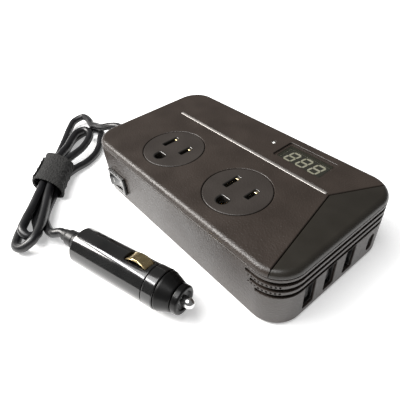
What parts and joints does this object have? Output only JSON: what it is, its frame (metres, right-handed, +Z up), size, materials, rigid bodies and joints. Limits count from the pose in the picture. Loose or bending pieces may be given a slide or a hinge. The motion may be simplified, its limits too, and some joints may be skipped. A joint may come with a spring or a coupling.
{
  "type": "vehicle power inverter",
  "caption": "Flat box power inverter with round outlets and display on top, USB sockets in the end panel, side rocker switch, and a bundled cord with a 12 V socket plug.",
  "frame": {"origin": "on the resting surface, under the centre of the box round the case and its switch, cord left out", "axes": "+X along the case towards the USB end, +Y towards the display side, away from the switch, +Z up"},
  "size_m": [0.2205, 0.1445, 0.0333],
  "materials": {
    "case_textured": "fine textured",
    "case_smooth": "satin",
    "gloss_black": "polished",
    "rubber_black": "matt",
    "cord_jacket": "satin",
    "strap_fabric": "woven, matt",
    "dark_plastic": "matt",
    "pale_plastic": "satin",
    "silver_trim": "bright",
    "steel": "plated",
    "brass": "bright",
    "copper": "enamelled wire",
    "ferrite": "matt",
    "board_green": "lacquered",
    "window_tint": "polished",
    "digits": "lit"
  },
  "bodies": {
    "case": {"base_shell": "case_textured", "top_cover": "case_textured", "end_panel": "case_smooth", "case_screw_1": "steel", "case_screw_2": "steel", "case_screw_3": "steel", "case_screw_4": "steel", "rubber_foot_1": "rubber_black", "rubber_foot_2": "rubber_black", "trim_strip": "silver_trim", "outlet_face_1": "case_smooth", "outlet_face_2": "case_smooth", "outlet_body_1": "pale_plastic", "outlet_body_2": "pale_plastic", "neutral_contact_1": "brass", "neutral_contact_2": "brass", "hot_contact_1": "brass", "hot_contact_2": "brass", "ground_contact_1": "brass", "ground_contact_2": "brass", "display_window": "window_tint", "display_module": "digits", "status_led": "pale_plastic", "usb_socket_1": "steel", "usb_socket_2": "steel", "usb_socket_3": "steel", "usb_tongue_1": "dark_plastic", "usb_tongue_2": "dark_plastic", "usb_tongue_3": "dark_plastic", "usb_c_socket": "steel", "usb_c_tongue": "dark_plastic", "usb_board": "board_green", "main_board": "board_green", "transformer_core": "ferrite", "transformer_winding": "copper", "heat_sink": "steel", "transistor_1": "dark_plastic", "transistor_2": "dark_plastic", "capacitor_1": "dark_plastic", "capacitor_2": "dark_plastic", "choke_coil": "copper", "switch_housing": "gloss_black", "fan_frame": "dark_plastic", "cord_gland": "rubber_black", "cord_lead": "cord_jacket", "cord_hank": "cord_jacket", "cord_tie": "strap_fabric", "cord_plug_lead": "cord_jacket", "plug_strain_relief": "rubber_black", "plug_body": "gloss_black", "plug_collar": "gloss_black", "plug_nose": "dark_plastic", "plug_retaining_ring": "dark_plastic", "plug_spring": "steel"},
    "rocker": {"switch_rocker": "gloss_black"},
    "fan": {"fan_rotor": "dark_plastic"},
    "pin": {"plug_pin": "silver_trim", "plug_fuse": "pale_plastic"},
    "contact_1": {"plug_contact_1": "brass"},
    "contact_2": {"plug_contact_2": "brass"}
  },
  "joints": [
    {"name": "rocker_tilt", "type": "hinge", "parent": "case", "child": "rocker", "pos_m": [-0.0485, -0.03675, 0.012], "axis": [0, 0, 1], "range_deg": [-22, 0]},
    {"name": "fan_spin", "type": "hinge", "parent": "case", "child": "fan", "pos_m": [-0.063, 0.01495, 0.0165], "axis": [1, 0, 0], "continuous": true},
    {"name": "pin_slide", "type": "slide", "parent": "case", "child": "pin", "axis": [-0.9588, -0.284, 0], "range_m": [0, 0.003], "stiffness_N_per_m": 2000, "springref_m": -0.002},
    {"name": "contact_1_press", "type": "slide", "parent": "case", "child": "contact_1", "axis": [0.0735, -0.2482, -0.9659], "range_m": [0, 0.0012], "stiffness_N_per_m": 1500, "springref_m": -0.001},
    {"name": "contact_2_press", "type": "slide", "parent": "case", "child": "contact_2", "axis": [-0.0735, 0.2482, 0.9659], "range_m": [0, 0.0012], "stiffness_N_per_m": 1500, "springref_m": -0.001}
  ]
}
